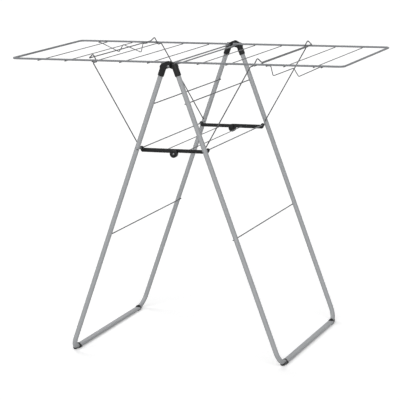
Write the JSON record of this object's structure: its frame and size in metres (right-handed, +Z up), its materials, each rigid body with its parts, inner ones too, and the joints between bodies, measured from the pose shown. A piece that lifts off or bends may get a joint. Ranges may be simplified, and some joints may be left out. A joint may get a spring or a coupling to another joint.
{
  "type": "clothes drying rack",
  "caption": "Folding winged clothes drying rack with wire drying lines, hanger notches, propped side wings and a small folding shelf between crossed leg frames.",
  "frame": {"origin": "on the floor, midway between the four feet", "axes": "+X along the length of the opened wings, +Y across the depth, +Z up"},
  "size_m": [1.207, 0.7126, 1.0528],
  "materials": {
    "leg_finish": "satin silver-grey powder coat on steel tube",
    "wire_finish": "satin silver-grey coated steel wire and small tube",
    "black_plastic": "moulded charcoal-black plastic, fine satin grain",
    "rivet_steel": "plain steel rivet heads"
  },
  "bodies": {
    "left_frame": {"left_leg_near": "leg_finish", "left_leg_far": "leg_finish", "left_floor_bar": "leg_finish", "left_foot_near": "black_plastic", "left_foot_far": "black_plastic", "left_upper_cross_rod": "wire_finish", "left_shelf_axle": "wire_finish", "left_lower_cross_rod": "wire_finish", "left_hinge_near": "black_plastic", "left_hinge_far": "black_plastic", "hinge_pin_near": "rivet_steel", "hinge_pin_far": "rivet_steel"},
    "left_wing": {"left_wing_rail": "wire_finish", "left_drying_lines": "wire_finish", "left_wing_axle": "wire_finish", "left_hanger_rail": "wire_finish"},
    "left_shelf": {"left_shelf_bar_near": "black_plastic", "left_shelf_bar_far": "black_plastic", "left_shelf_wire": "wire_finish", "left_shelf_rivet": "rivet_steel"},
    "left_stay_body": {"left_stay": "wire_finish"},
    "right_frame": {"right_leg_near": "leg_finish", "right_leg_far": "leg_finish", "right_floor_bar": "leg_finish", "right_foot_near": "black_plastic", "right_foot_far": "black_plastic", "right_upper_cross_rod": "wire_finish", "right_shelf_axle": "wire_finish", "right_lower_cross_rod": "wire_finish", "right_hinge_near": "black_plastic", "right_hinge_far": "black_plastic"},
    "right_wing": {"right_wing_rail": "wire_finish", "right_drying_lines": "wire_finish", "right_wing_axle": "wire_finish", "right_hanger_rail": "wire_finish"},
    "right_shelf": {"right_shelf_bar_near": "black_plastic", "right_shelf_bar_far": "black_plastic", "right_shelf_wire": "wire_finish", "right_shelf_rivet": "rivet_steel"},
    "right_stay_body": {"right_stay": "wire_finish"}
  },
  "joints": [
    {"name": "leg_fold", "type": "hinge", "parent": "left_frame", "child": "right_frame", "pos_m": [0, 0, 1.024], "axis": [0, 1, 0], "range_deg": [0, 39.6]},
    {"name": "left_wing_fold", "type": "hinge", "parent": "left_frame", "child": "left_wing", "pos_m": [-0.014, 0, 1.0273], "axis": [0, -1, 0], "range_deg": [0, 67]},
    {"name": "right_wing_fold", "type": "hinge", "parent": "right_frame", "child": "right_wing", "pos_m": [0.014, 0, 1.0273], "axis": [0, 1, 0], "range_deg": [0, 67]},
    {"name": "left_stay_fold", "type": "hinge", "parent": "left_wing", "child": "left_stay_body", "pos_m": [-0.284, 0, 1.0272], "axis": [0, 1, 0], "range_deg": [0, 118.5]},
    {"name": "right_stay_fold", "type": "hinge", "parent": "right_wing", "child": "right_stay_body", "pos_m": [0.284, 0, 1.0272], "axis": [0, -1, 0], "range_deg": [0, 118.5]},
    {"name": "left_shelf_fold", "type": "hinge", "parent": "left_frame", "child": "left_shelf", "pos_m": [-0.11953, 0, 0.735], "axis": [0, -1, 0], "range_deg": [0, 72.2]},
    {"name": "right_shelf_fold", "type": "hinge", "parent": "right_frame", "child": "right_shelf", "pos_m": [0.11953, 0, 0.735], "axis": [0, 1, 0], "range_deg": [0, 72.2]}
  ],
  "couplings": [
    {"joint": "left_stay_fold", "follows": "left_wing_fold", "ratio": 1.7612},
    {"joint": "right_stay_fold", "follows": "right_wing_fold", "ratio": 1.7612},
    {"joint": "left_shelf_fold", "follows": "leg_fold", "ratio": 1.8117},
    {"joint": "right_shelf_fold", "follows": "leg_fold", "ratio": 1.8117}
  ]
}
